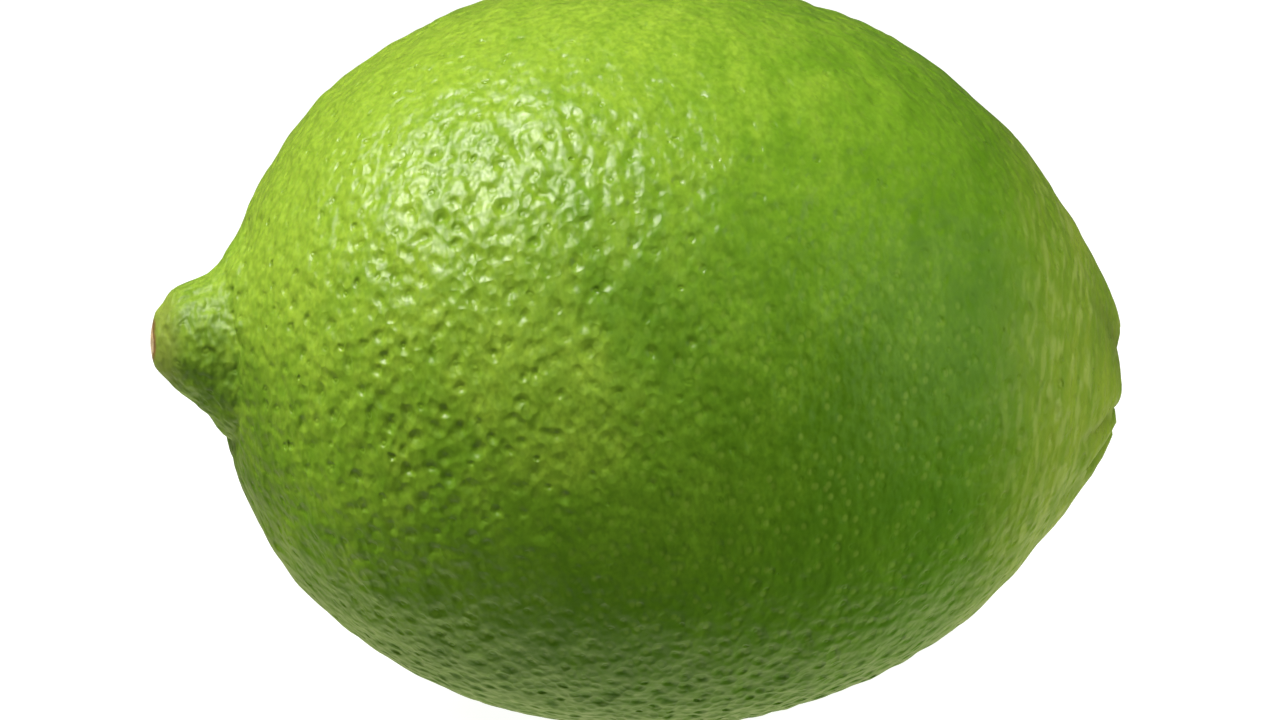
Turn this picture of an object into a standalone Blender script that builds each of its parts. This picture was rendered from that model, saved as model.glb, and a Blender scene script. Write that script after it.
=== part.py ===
"""A whole lime lying on its side: the fruit with its pitted peel, and the dried calyx in its stem end.

Units are metres and Z is up. X runs along the fruit, from the nipple at its blossom end (-X) to its stem end
(+X). The origin is on the surface that the fruit lies on, under the middle of its bounding box.

The peel is given by one formula, peel_radius, which says how far the skin is from the fruit's centre in each
direction. The mesh is the convex hull of evenly spread directions, which joins them by near-even triangles,
and each of its points is then moved out to the skin. One point in seven is the bottom of an oil gland's pit,
and the six around it are its rim.
"""

import math

import bmesh
import bpy
import numpy as np
from mathutils import Matrix, Vector

# The body is an ellipsoid.
BODY_HALF_LENGTH = 0.0320
BODY_HALF_WIDTH = 0.0268
BODY_HALF_HEIGHT = 0.02705
# The body leans down towards its stem end.
BODY_LEAN = 0.00026
# Shallow long swellings around the body: how many, how high, and where the first one is.
SWELLINGS = ((2, 0.00030, 90.0), (3, 0.00022, 0.0), (5, 0.00016, 0.0))
# How far the peel is pressed flat where the fruit lies.
REST_FLAT_DEPTH = 0.00050

# The nipple at the blossom end points a little up and to the front. Angles are in degrees from its axis.
NIPPLE_HEIGHT = 0.0041
NIPPLE_SPREAD = 10.8
NIPPLE_FULLNESS = 1.45
NIPPLE_LEAN_UP = 3.2
NIPPLE_TURN_FRONT = 4.0
# Its tip is a shallow round scar, where the flower's style broke off.
SCAR_DEPTH = 0.00035
SCAR_SPREAD = 3.2
# A shallow furrow surrounds the nipple, and a fold of the skin stands up between the two.
FURROW_DEPTH = 0.00093
FURROW_ANGLE = 16.6
FURROW_WIDTH = 16.4
FOLD_HEIGHT = 0.00042
FOLD_ANGLE = 10.8
FOLD_WIDTH = 3.0

# The stem end is a low blunt boss, whose rim is drawn into ribs around a small dish.
STEM_LEAN_DOWN = 4.5
BOSS_HEIGHT = 0.0023
BOSS_SPREAD = 19.3
BOSS_BLUNTNESS = 1.5
DISH_DEPTH = 0.0018
DISH_SPREAD = 7.6
DISH_ROUNDNESS = 1.5
RIB_COUNT = 8
RIB_HEIGHT = 0.00060
RIB_ANGLE = 10.0
RIB_WIDTH = 8.0
# The ribs' backs are rounder the lower the first number is, and the second is their mean height.
RIB_ROUNDNESS = 0.7
RIB_MEAN = 0.6
# Uneven spacing of the ribs: how many waves around the rim, how large, and their phase.
RIB_DRIFTS = ((2, 0.28, 57.0), (3, 0.16, 115.0))

# The pits of the oil glands, which are larger and fewer here than on a real peel.
PIT_COUNT = 845
PIT_DEPTH = 0.00050
PIT_UNEVENNESS = 0.4
PIT_JITTER = 0.13
PEEL_SEED = 7
# A point on a pit's rim mixes the three nearest pits' directions by these weights, its own first.
RIM_WEIGHTS = (4.0, 2.0, 1.0)
# Near the two ends, within this angle of the X axis, an area holds this many times as many pits.
END_DENSITY = 2.5
END_ANGLE = 16.0
# Pits fade out towards the nipple's tip and the calyx, from twice these angles to these.
TIP_WITHOUT_PITS = 3.0
DISH_WITHOUT_PITS = 8.0

# The calyx is a thin five-lobed star with a raised ring, where the stalk broke off.
CALYX_RADIUS = 0.0027
CALYX_LOBES = 5
CALYX_LOBE_DEPTH = 0.16
CALYX_EDGE_THICKNESS = 0.00030
CALYX_THICKNESS = 0.00075
STALK_RING_RADIUS = 0.00105
STALK_RING_WIDTH = 0.00042
STALK_RING_HEIGHT = 0.00040
CALYX_GAP = 0.00030
CALYX_SEGMENTS = 30
CALYX_RINGS = 12

GOLDEN_ANGLE = math.pi * (3.0 - math.sqrt(5.0))
TABLE_STEPS = 2000

PEEL_GREEN = (0.22, 0.42, 0.035)
PEEL_ROUGHNESS = 0.33
CALYX_BROWN = (0.22, 0.20, 0.11)
CALYX_ROUGHNESS = 0.8


def direction_of(along, front, up):
    """The unit vector of three numbers."""
    return np.array(Vector((along, front, up)).normalized())


STEM_AXIS = direction_of(1.0, 0.0, -math.tan(math.radians(STEM_LEAN_DOWN)))
NIPPLE_AXIS = direction_of(
    -1.0, -math.tan(math.radians(NIPPLE_TURN_FRONT)), math.tan(math.radians(NIPPLE_LEAN_UP))
)


def degrees_from(directions, axis):
    """The angle between each direction and an axis, in degrees."""
    return np.degrees(np.arccos(np.clip(directions @ axis, -1.0, 1.0)))


def turn_about(directions, axis):
    """How far round an axis each direction lies: 0 towards the front (-Y), a quarter turn towards the top."""
    side = np.cross(axis, (0.0, 0.0, 1.0))
    side /= np.linalg.norm(side)
    if side[1] > 0.0:
        side = -side
    above = (0.0, 0.0, 1.0) - axis[2] * axis
    above /= np.linalg.norm(above)
    return np.arctan2(directions @ above, directions @ side)


def bell(value, middle, width):
    return np.exp(-(((value - middle) / width) ** 2))


def body(directions):
    """The ellipsoid's radius, with the long swellings that keep it from being a perfect one."""
    halves = np.array((BODY_HALF_LENGTH, BODY_HALF_WIDTH, BODY_HALF_HEIGHT))
    radius = 1.0 / np.linalg.norm(directions / halves, axis=1)
    along, height = directions[:, 0], directions[:, 2]
    radius = radius - BODY_LEAN * along * height
    around = np.arctan2(directions[:, 2], directions[:, 1])
    across = np.hypot(directions[:, 1], directions[:, 2])
    for count, swelling, start in SWELLINGS:
        radius = radius + swelling * across**2 * np.cos(count * around + math.radians(start))
    return radius


def nipple(directions):
    """The nipple's height above the body, with the fold at its foot, less its scar and furrow."""
    angle = degrees_from(directions, NIPPLE_AXIS)
    cone = np.clip(1.0 - (angle / NIPPLE_SPREAD) ** 2, 0.0, None) ** NIPPLE_FULLNESS
    fold = bell(angle, FOLD_ANGLE, FOLD_WIDTH)
    furrow = bell(angle, FURROW_ANGLE, FURROW_WIDTH)
    scar = np.clip(1.0 - (angle / SCAR_SPREAD) ** 2, 0.0, None)
    return NIPPLE_HEIGHT * cone + FOLD_HEIGHT * fold - FURROW_DEPTH * furrow - SCAR_DEPTH * scar


def ribs(directions):
    """The ribs' height: rounded backs with narrow creases between them."""
    turn = turn_about(directions, STEM_AXIS)
    drift = sum(size * np.sin(waves * turn + math.radians(phase)) for waves, size, phase in RIB_DRIFTS)
    backs = np.abs(np.sin(RIB_COUNT / 2.0 * (turn + drift))) ** RIB_ROUNDNESS
    return RIB_HEIGHT * (backs - RIB_MEAN) * bell(degrees_from(directions, STEM_AXIS), RIB_ANGLE, RIB_WIDTH)


def stem_end(directions):
    """The boss with its ribs, less the dish in its middle."""
    angle = degrees_from(directions, STEM_AXIS)
    boss = BOSS_HEIGHT * np.exp(-((angle / BOSS_SPREAD) ** BOSS_BLUNTNESS))
    dish = DISH_DEPTH * np.clip(1.0 - (angle / DISH_SPREAD) ** 2, 0.0, None) ** DISH_ROUNDNESS
    return boss + ribs(directions) * np.clip(angle / DISH_SPREAD, 0.0, 1.0) ** 2 - dish


def peel_radius(directions):
    """How far the skin is from the fruit's centre in each direction, without the pits."""
    return body(directions) + nipple(directions) + stem_end(directions)


def around_axis(angles, turns):
    """Directions at these angles from +X, turned about X."""
    across = np.sin(angles)
    return np.stack((np.cos(angles), across * np.cos(turns), across * np.sin(turns)), axis=1)


def crowding(angles):
    """How many pits an area holds at these angles from +X, for each pit on the middle of the peel."""
    from_end = np.degrees(np.minimum(angles, math.pi - angles))
    return 1.0 + (END_DENSITY - 1.0) * bell(from_end, 0.0, END_ANGLE)


def spread_directions(count):
    """Directions whose points lie evenly on the peel, on a golden spiral about X, but closer at its ends."""
    angles = np.linspace(0.0, math.pi, TABLE_STEPS)
    outline = around_axis(angles, np.zeros(TABLE_STEPS))
    points = outline * peel_radius(outline)[:, None]
    steps = np.linalg.norm(np.diff(points, axis=0), axis=1)
    bands = (steps * (np.abs(points[:, 1]) * crowding(angles))[1:]).cumsum()
    shares = np.concatenate(((0.0,), bands / bands[-1]))
    found = np.interp((np.arange(count) + 0.5) / count, shares, angles)
    return around_axis(found, np.arange(count) * GOLDEN_ANGLE)


def normalised(vectors):
    return vectors / np.linalg.norm(vectors, axis=1, keepdims=True)


def hull_of(directions):
    """A closed mesh of triangles that joins the ends of unit vectors."""
    mesh = bmesh.new()
    for direction in directions:
        mesh.verts.new(direction)
    bmesh.ops.convex_hull(mesh, input=list(mesh.verts))
    bmesh.ops.recalc_face_normals(mesh, faces=list(mesh.faces))
    return mesh


def pit_share(directions):
    """How deep a pit is in each direction, from 0, where the peel has none, to 1 on its middle."""
    tip = np.clip(degrees_from(directions, NIPPLE_AXIS) / TIP_WITHOUT_PITS - 1.0, 0.0, 1.0)
    dish = np.clip(degrees_from(directions, STEM_AXIS) / DISH_WITHOUT_PITS - 1.0, 0.0, 1.0)
    return np.minimum(tip, dish) / crowding(np.arccos(directions[:, 0]))


def pit_directions(random):
    """Each pit's direction, a little off the spiral, so that the pits lie as unevenly as on a real peel."""
    even = spread_directions(PIT_COUNT)
    spacing = math.sqrt(4.0 * math.pi / PIT_COUNT)
    return normalised(even + random.normal(0.0, PIT_JITTER * spacing, even.shape))


def rim_directions(pits):
    """Three directions inside each triangle of pits, one beside each corner, for the pits' rims."""
    triangles = hull_of(pits)
    rims = []
    for face in triangles.faces:
        corners = [vert.co for vert in face.verts]
        for first in range(3):
            near, onward, last = corners[first:] + corners[:first]
            rims.append(RIM_WEIGHTS[0] * near + RIM_WEIGHTS[1] * onward + RIM_WEIGHTS[2] * last)
    triangles.free()
    return normalised(np.array(rims))


def fruit_mesh():
    """The whole peel as one closed mesh about the fruit's centre, pressed flat where it lies."""
    random = np.random.default_rng(PEEL_SEED)
    pits = pit_directions(random)
    depths = PIT_DEPTH * (1.0 - PIT_UNEVENNESS * random.random(PIT_COUNT)) * pit_share(pits)
    directions = np.concatenate((pits, rim_directions(pits)))
    radii = peel_radius(directions)
    radii[:PIT_COUNT] -= depths
    points = directions * radii[:, None]
    points[:, 2] = np.maximum(points[:, 2], REST_FLAT_DEPTH - BODY_HALF_HEIGHT)

    mesh = hull_of(directions)
    for vert, point in zip(mesh.verts, points):
        vert.co = point
    bmesh.ops.delete(mesh, geom=[vert for vert in mesh.verts if not vert.link_faces], context="VERTS")
    return mesh


def calyx_thickness(distances):
    """The calyx's thickness at each distance from its middle: a thin star, with the broken stalk's ring."""
    star = np.clip(1.0 - (distances / CALYX_RADIUS) ** 2, 0.0, None)
    ring = bell(distances, STALK_RING_RADIUS, STALK_RING_WIDTH)
    thin = CALYX_EDGE_THICKNESS + (CALYX_THICKNESS - CALYX_EDGE_THICKNESS) * star
    return thin + STALK_RING_HEIGHT * ring


def calyx_mesh():
    """The calyx about the fruit's centre: a ball pressed into a lobed star that follows the dish."""
    mesh = bmesh.new()
    bmesh.ops.create_uvsphere(mesh, u_segments=CALYX_SEGMENTS, v_segments=CALYX_RINGS, radius=1.0)
    ball = np.array([vert.co for vert in mesh.verts])
    turns = np.arctan2(ball[:, 1], ball[:, 0])
    reach = CALYX_RADIUS * (1.0 - CALYX_LOBE_DEPTH * (1.0 - np.abs(np.cos(CALYX_LOBES / 2.0 * turns))))
    distances = np.hypot(ball[:, 0], ball[:, 1]) * reach

    seat = BODY_HALF_LENGTH + BOSS_HEIGHT - DISH_DEPTH
    to_stem = Vector((0.0, 0.0, 1.0)).rotation_difference(Vector(STEM_AXIS)).to_matrix()
    flat = np.stack((np.cos(turns) * distances, np.sin(turns) * distances, np.full(len(ball), seat)), axis=1)
    directions = normalised(flat @ np.array(to_stem).T)
    underside = peel_radius(directions) + CALYX_GAP
    heights = underside + calyx_thickness(distances) * (ball[:, 2] + 1.0) / 2.0
    for vert, direction, height in zip(mesh.verts, directions, heights):
        vert.co = direction * height
    return mesh


def material(name, colour, roughness):
    made = bpy.data.materials.new(name)
    made.use_nodes = True
    shader = made.node_tree.nodes["Principled BSDF"]
    shader.inputs["Base Color"].default_value = (*colour, 1.0)
    shader.inputs["Roughness"].default_value = roughness
    shader.inputs["Metallic"].default_value = 0.0
    return made


def add_object(name, mesh, surface, collection, offset):
    """A smooth-shaded object in the collection, moved by the offset."""
    mesh.transform(Matrix.Translation(offset))
    data = bpy.data.meshes.new(name)
    mesh.to_mesh(data)
    mesh.free()
    data.shade_smooth()
    data.materials.append(surface)
    made = bpy.data.objects.new(name, data)
    collection.objects.link(made)
    return made


def middle_of_box(mesh):
    points = np.array([vert.co for vert in mesh.verts])
    return (points.min(axis=0) + points.max(axis=0)) / 2.0


def main():
    for old in list(bpy.data.objects):
        bpy.data.objects.remove(old)
    collection = bpy.data.collections.new("lime")
    bpy.context.scene.collection.children.link(collection)

    fruit = fruit_mesh()
    middle = middle_of_box(fruit)
    to_origin = Vector((-middle[0], -middle[1], BODY_HALF_HEIGHT - REST_FLAT_DEPTH))
    peel = material("peel", PEEL_GREEN, PEEL_ROUGHNESS)
    calyx = material("calyx", CALYX_BROWN, CALYX_ROUGHNESS)
    add_object("lime_fruit", fruit, peel, collection, to_origin)
    add_object("calyx_button", calyx_mesh(), calyx, collection, to_origin)


main()
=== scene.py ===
import math

import bmesh
import bpy
import numpy as np
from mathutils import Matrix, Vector, noise


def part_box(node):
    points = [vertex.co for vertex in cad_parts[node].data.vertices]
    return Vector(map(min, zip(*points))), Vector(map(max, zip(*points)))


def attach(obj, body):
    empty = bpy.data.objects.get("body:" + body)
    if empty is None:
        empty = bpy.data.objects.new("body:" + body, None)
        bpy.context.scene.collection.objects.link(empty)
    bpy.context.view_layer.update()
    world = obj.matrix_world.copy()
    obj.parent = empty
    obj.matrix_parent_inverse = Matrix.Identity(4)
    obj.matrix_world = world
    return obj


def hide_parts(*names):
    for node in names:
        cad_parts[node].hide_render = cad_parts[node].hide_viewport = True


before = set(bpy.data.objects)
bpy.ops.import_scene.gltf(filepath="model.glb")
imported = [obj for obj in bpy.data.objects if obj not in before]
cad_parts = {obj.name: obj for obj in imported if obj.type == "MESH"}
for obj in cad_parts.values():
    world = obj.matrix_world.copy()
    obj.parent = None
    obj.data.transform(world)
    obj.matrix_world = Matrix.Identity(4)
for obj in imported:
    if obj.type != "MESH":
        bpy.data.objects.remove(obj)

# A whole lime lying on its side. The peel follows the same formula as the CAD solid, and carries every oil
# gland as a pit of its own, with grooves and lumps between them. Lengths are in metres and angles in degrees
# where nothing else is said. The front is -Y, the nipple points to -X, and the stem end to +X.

MM = 0.001

# The peel's formula has the same values as the CAD source.
BODY_HALF_LENGTH = 0.0320
BODY_HALF_WIDTH = 0.0268
BODY_HALF_HEIGHT = 0.02705
BODY_LEAN = 0.00026
# Long swellings around the body: how many, how high, and where the first one is.
SWELLINGS = ((2, 0.00030, 90.0), (3, 0.00022, 0.0), (5, 0.00016, 0.0))
REST_FLAT_DEPTH = 0.00050
NIPPLE_HEIGHT = 0.0041
NIPPLE_SPREAD = 10.8
NIPPLE_FULLNESS = 1.45
NIPPLE_LEAN_UP = 3.2
NIPPLE_TURN_FRONT = 4.0
SCAR_DEPTH = 0.00035
SCAR_SPREAD = 3.2
FURROW_DEPTH = 0.00093
FURROW_ANGLE = 16.6
FURROW_WIDTH = 16.4
FOLD_HEIGHT = 0.00042
FOLD_ANGLE = 10.8
FOLD_WIDTH = 3.0
STEM_LEAN_DOWN = 4.5
BOSS_HEIGHT = 0.0023
BOSS_SPREAD = 19.3
BOSS_BLUNTNESS = 1.5
DISH_DEPTH = 0.0018
DISH_SPREAD = 7.6
DISH_ROUNDNESS = 1.5
RIB_COUNT = 8
RIB_HEIGHT = 0.00060
RIB_ANGLE = 10.0
RIB_WIDTH = 8.0
# The lower the first number, the fuller the ribs and the narrower the creases between them. The second is the
# ribs' mean height.
RIB_ROUNDNESS = 0.7
RIB_MEAN = 0.6
# Uneven spacing of the ribs: how many waves around the rim, how large in radians, and their phase.
RIB_DRIFTS = ((2, 0.28, 57.0), (3, 0.16, 115.0))

# The oil glands, with how unevenly they lie, and how much closer they are near the two ends.
GLAND_COUNT = 3640
GLAND_JITTER = 0.17
GLAND_SEED = 11
END_DENSITY = 1.9
END_ANGLE = 15.0
# Each gland's pit has a flat floor and a round rim: its radius and depth are drawn between these.
PIT_RADIUS = (0.00031, 0.00054)
PIT_DEPTH = (0.00001, 0.00006)
# The floor's share of the radius, how much of the floor is flat, and how far towards the nearest border of
# its cell a pit may reach.
PIT_FLOOR = 0.42
PIT_FLAT = 0.6
PIT_INSIDE_CELL = 0.82
# Pits start at the first of these angles from the nipple's axis and are full at the second, and the same from
# the stem's.
PITS_FROM_TIP = (2.6, 6.5)
PITS_FROM_STEM = (6.0, 12.0)
# The skin sinks to a bowl round each pit as well, out to the next glands, by a depth drawn between these.
BOWL_DEPTH = (0.00001, 0.00008)

# Grooves run round the fruit between the pits, where a noise is near zero: its wavelengths along X and around
# it, the grooves' depth, and how far from zero the noise is at their sides.
GROOVE_WAVES = (0.0030, 0.0078)
GROOVE_DEPTH = 0.00018
GROOVE_WIDTH = 0.13
# A second noise, finer by these factors along X and around it, makes them waver by this share.
GROOVE_FINER = (1.8, 2.2)
GROOVE_WAVER = 0.35
# They are deepest around this direction of the upper front, within this angle.
GROOVE_CENTRE = (-0.20, -0.74, 0.65)
GROOVE_SPREAD = 30.0
GROOVE_ELSEWHERE = 0.30
# Low lumps between the glands, and the peel's broad unevenness.
LUMP_WAVE = 0.0020
LUMP_STRETCH = 1.6
LUMP_DEPTH = 0.00020
UNEVEN_WAVE = 0.0095
UNEVEN_DEPTH = 0.00026
UNEVEN_SWING = 0.6
# All of these start at the first of these angles from the nipple's axis and are full at the second, and the
# same from the stem's.
RELIEF_FROM_TIP = (3.0, 12.0)
RELIEF_FROM_STEM = (4.0, 14.0)
# The peel is smoothest on the stem end's half of the front, and in patches elsewhere.
SMOOTH_CENTRE = (0.37, -0.93, -0.05)
SMOOTH_SPREAD = 34.0
SMOOTH_SHARE = 0.72
PATCH_WAVE = 0.021
PATCH_RANGE = (-0.10, 0.45)
PATCH_SHARE = 0.55
# It is bumpiest on the blossom end's half of the front, and less so near the stem end.
BUMPY_CENTRE = (-0.46, -0.89, -0.01)
BUMPY_SPREAD = 37.0
BUMPY_ELSEWHERE = 0.24
BUMPY_STEM_END = 0.45
BUMPY_STEM_SPREAD = 40.0
# Its underside is bumpy as well, from the first of these heights on the unit sphere down to the second.
BUMPY_UNDERSIDE = (-0.50, -0.84)
# A narrow, uneven crease runs round the nipple's foot, lower on its underside.
CREASE_ANGLE = 11.2
CREASE_DROP = 2.4
CREASE_WIDTH = 1.25
CREASE_DEPTH = 0.00040
CREASE_STRAY = 1.6
CREASE_STRAY_WAVE = 0.0045
# Above the crease the nipple is plump.
PLUMP_ANGLE = 6.4
PLUMP_WIDTH = 2.3
PLUMP_HEIGHT = 0.00048
# The nipple is lumpy: the lumps rise between the first two angles and fade between the last two.
NIPPLE_LUMP_WAVE = 0.0013
NIPPLE_LUMP_DEPTH = 0.00022
NIPPLE_LUMPS_START = (2.6, 4.5)
NIPPLE_LUMPS_END = (12.0, 20.0)
# Wrinkles ring the stem end: their wavelength in degrees, and how much they vary around it.
WRINKLE_WAVE = 4.2
WRINKLE_DRIFT = 1.6
WRINKLE_DEPTH = 0.00022
WRINKLE_ANGLE = 22.0
WRINKLE_WIDTH = 9.0
# Painted shade darkens the creases between the ribs, a little inside the ribs.
RIB_SHADE_ANGLE = 0.8 * RIB_ANGLE
# Each noise is read at a shift of its own, so that no two agree.
PATCH_SHIFT = 83.0
FINE_GROOVE_SHIFT = 31.0
WRINKLE_SHIFT = 12.0
CREASE_SHIFT = 41.0
NIPPLE_LUMP_SHIFT = 66.0
LUMP_SHIFT = 19.0
UNEVEN_SHIFT = 57.0

CALYX_RADIUS = 0.0027
CALYX_LOBES = 5
CALYX_LOBE_DEPTH = 0.16
CALYX_EDGE_THICKNESS = 0.00030
CALYX_THICKNESS = 0.00075
STALK_RING_RADIUS = 0.00105
STALK_RING_WIDTH = 0.00042
STALK_RING_HEIGHT = 0.00040
CALYX_GAP = 0.00030
CALYX_SEGMENTS = 180
CALYX_RINGS = 60

# The peel's greens from the least ripe to the ripest, as linear red, green and blue; the painted light on the
# lit side moves the peel along them as well.
GREENS = (
    (0.0, (0.063, 0.177, 0.005)),
    (0.32, (0.093, 0.220, 0.006)),
    (0.62, (0.160, 0.322, 0.016)),
    (1.0, (0.322, 0.498, 0.040)),
)
# What is mixed into the greens, among them painted shade in the pits and in the rib creases, and the scar's
# and the calyx's colours by their blotches.
PIT_SHADE_GREEN = (0.055, 0.150, 0.004)
SPECKLE_GREEN = (0.060, 0.160, 0.003)
DOT_GREEN = (0.330, 0.480, 0.070)
STREAK_YELLOW = (0.300, 0.385, 0.036)
RING_GREEN = (0.330, 0.420, 0.100)
# Painted shade in the creases between the ribs.
RIB_CREASE_SHADE = (0.070, 0.110, 0.012)
DULL_GREEN = (0.078, 0.172, 0.008)
TIP_GREEN = (0.320, 0.360, 0.070)
SCAR_BROWN = (0.210, 0.105, 0.030)
# The scar's creams are its own colour, lightened partly as a painted highlight.
SCAR_CREAMS_AND_HIGHLIGHT = ((0.3, (0.500, 0.330, 0.180)), (0.7, (0.760, 0.630, 0.430)))
CALYX_BROWNS = (
    (0.30, (0.070, 0.058, 0.024)),
    (0.50, (0.170, 0.160, 0.066)),
    (0.72, (0.300, 0.290, 0.140)),
)
STALK_CREAM = (0.430, 0.330, 0.190)
# Painted shade of a groove round the stalk.
STALK_GROOVE_SHADE = (0.040, 0.030, 0.014)
FLOOR_GREYS = ((0.3, (0.28, 0.28, 0.28)), (0.7, (0.31, 0.31, 0.31)))

# The peel ripens by this much for a metre along X, Y and Z from the fruit's centre. This is partly painted
# light: the upper left, where the key light falls, is painted lighter and yellower.
RIPER_AND_LIT_TOWARDS = (-25.0, -4.0, 29.0)
# The middle of the paler patch on the front, and of the duller green at the nipple's foot.
PALE_PATCH = (-0.31, -0.95, 0.055)
DULL_CENTRE = (-1.0, -0.13, -0.13)

# Textures are longer round the fruit than along it by the inverse of these, and lean a little.
GROWN_SCALE = (1.0, 0.60, 0.60)
LONGER_SCALE = (1.0, 0.78, 0.78)
TEXTURE_LEAN = 16.0
RING_SCALES = (0.0, 0.34, 0.34)
# How many features of each texture there are to a metre.
CLOUDS = 75.0
MOTTLES = 420.0
STREAKS = 430.0
BLOTCHES = 500.0
SMALL_PITS = 1200.0
WOBBLES = 1300.0
RINGS = 1300.0
LUMPS = 1350.0
SPECKLES = 2300.0
GRAINS = 2700.0
CALYX_BLOTCHES = 1500.0
CALYX_GRAINS = 2600.0

# The bump's heights in mm, from the least to the most where there are two.
PIT_BUMP = (0.008, 0.052)
BOWL_BUMP = (0.03, 0.20)
SMALL_PIT_BUMP = (0.02, 0.095)
LUMP_BUMP = 0.19
NIPPLE_LUMP_BUMP = 0.14
GRAIN_BUMP = 0.045
NIPPLE_GRAIN_BUMP = 0.08
RING_BUMP = 0.13
# The dome in a pit's middle rises by this share of the pit's depth.
PIT_DOME = 0.60
# The smoothest peel keeps this share of the lumps, the grain and the small pits.
LEAST_ROUGH = 0.36
# How far the pits' outlines stray, in mm.
PIT_WOBBLE = 0.36

# The roughness from the lumps' feet to their tops, and how much rougher the nipple and the lower pits are.
PEEL_ROUGHNESS = (0.28, 0.38)
NIPPLE_DULLER = 0.16
LOWER_PITS_DULLER = 0.45
# On the unit sphere, the underside starts at the first of these depths and is full at the second.
UNDERSIDE = (0.45, 0.85)

# The camera looks at the fruit's front, a little from the nipple's side and from above.
CAMERA_AZIMUTH = -5.0
CAMERA_ELEVATION = 10.0
CAMERA_LENS = 180.0
SENSOR_WIDTH = 36.0
# What the photograph's width spans at the fruit's centre, and where that centre is in it.
VIEW_WIDTH = 0.09107
CENTRE_RIGHT_OF_MIDDLE = 0.00050
CENTRE_ABOVE_MIDDLE = 0.00051
NEAREST_SEEN = 0.01

# Each light: its name, its direction in the camera's own axes (right, up and back), its distance, its side's
# length, its radiance, its colour, and whether the gloss shows it.
TOWARDS_KEY = (-0.56, 0.77, 0.41)
WARM_WHITE = (1.0, 0.97, 0.90)
COOL_WHITE = (1.0, 1.0, 0.96)
LIGHTS = (
    ("key", TOWARDS_KEY, 0.50, 0.36, 7.8, WARM_WHITE, True),
    ("key core", TOWARDS_KEY, 0.48, 0.07, 43.5, WARM_WHITE, True),
    ("right fill", (1.00, 0.10, 0.22), 0.60, 0.60, 3.85, COOL_WHITE, False),
    ("front fill", (-0.20, 0.25, 1.0), 0.60, 0.60, 0.58, COOL_WHITE, False),
    ("low fill", (-0.22, -0.84, -0.50), 0.60, 0.60, 2.5, COOL_WHITE, False),
)
# The studio is bright around this direction, in the camera's own axes, and dim where the cosine of the angle
# to it is below the last number.
STUDIO_BRIGHT_TOWARDS = (0.03, -0.63, -0.77)
STUDIO_BRIGHT = (0.80, 0.82, 0.42)
STUDIO_DIM = (0.10, 0.10, 0.06)
STUDIO_BRIGHT_FROM = 0.60

FLOOR_HALF_WIDTH = 3.0

GOLDEN_ANGLE = math.pi * (3.0 - math.sqrt(5.0))
TABLE_STEPS = 2000


def direction_of(along, front, up):
    return np.array(Vector((along, front, up)).normalized())


STEM_AXIS = direction_of(1.0, 0.0, -math.tan(math.radians(STEM_LEAN_DOWN)))
NIPPLE_AXIS = direction_of(
    -1.0, -math.tan(math.radians(NIPPLE_TURN_FRONT)), math.tan(math.radians(NIPPLE_LEAN_UP))
)


# The peel's formula

def degrees_from(directions, axis):
    """The angle between each direction and an axis, in degrees."""
    return np.degrees(np.arccos(np.clip(directions @ axis, -1.0, 1.0)))


def turn_about(directions, axis):
    """How far round an axis each direction lies: 0 towards the front, a quarter turn towards the top."""
    side = np.cross(axis, (0.0, 0.0, 1.0))
    side /= np.linalg.norm(side)
    if side[1] > 0.0:
        side = -side
    above = (0.0, 0.0, 1.0) - axis[2] * axis
    above /= np.linalg.norm(above)
    return np.arctan2(directions @ above, directions @ side)


def bell(value, middle, width):
    """1 in the middle, and 0.37 at this width from it."""
    return np.exp(-(((value - middle) / width) ** 2))


def smoothstep(value, low, high):
    share = np.clip((value - low) / (high - low), 0.0, 1.0)
    return share * share * (3.0 - 2.0 * share)


def body(directions):
    """The ellipsoid's radius, with the long swellings that keep it from being a perfect one."""
    halves = np.array((BODY_HALF_LENGTH, BODY_HALF_WIDTH, BODY_HALF_HEIGHT))
    radius = 1.0 / np.linalg.norm(directions / halves, axis=1)
    along, height = directions[:, 0], directions[:, 2]
    radius = radius - BODY_LEAN * along * height
    around = np.arctan2(directions[:, 2], directions[:, 1])
    across = np.hypot(directions[:, 1], directions[:, 2])
    for count, swelling, start in SWELLINGS:
        radius = radius + swelling * across**2 * np.cos(count * around + math.radians(start))
    return radius


def nipple(directions):
    """The nipple's height above the body, with its foot's fold, less its scar and the furrow round it."""
    angle = degrees_from(directions, NIPPLE_AXIS)
    cone = np.clip(1.0 - (angle / NIPPLE_SPREAD) ** 2, 0.0, None) ** NIPPLE_FULLNESS
    fold = bell(angle, FOLD_ANGLE, FOLD_WIDTH)
    furrow = bell(angle, FURROW_ANGLE, FURROW_WIDTH)
    scar = np.clip(1.0 - (angle / SCAR_SPREAD) ** 2, 0.0, None)
    return NIPPLE_HEIGHT * cone + FOLD_HEIGHT * fold - FURROW_DEPTH * furrow - SCAR_DEPTH * scar


def rib_turns(directions):
    """How far round the stem each direction lies, with the ribs' uneven spacing."""
    turn = turn_about(directions, STEM_AXIS)
    return turn + sum(size * np.sin(waves * turn + math.radians(phase)) for waves, size, phase in RIB_DRIFTS)


def rib_backs(directions):
    """1 on the ribs' rounded backs, and 0 in the narrow creases between them."""
    return np.abs(np.sin(RIB_COUNT / 2.0 * rib_turns(directions))) ** RIB_ROUNDNESS


def ribs(directions):
    """The ribs' height above or below their mean."""
    band = bell(degrees_from(directions, STEM_AXIS), RIB_ANGLE, RIB_WIDTH)
    return RIB_HEIGHT * (rib_backs(directions) - RIB_MEAN) * band


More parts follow.
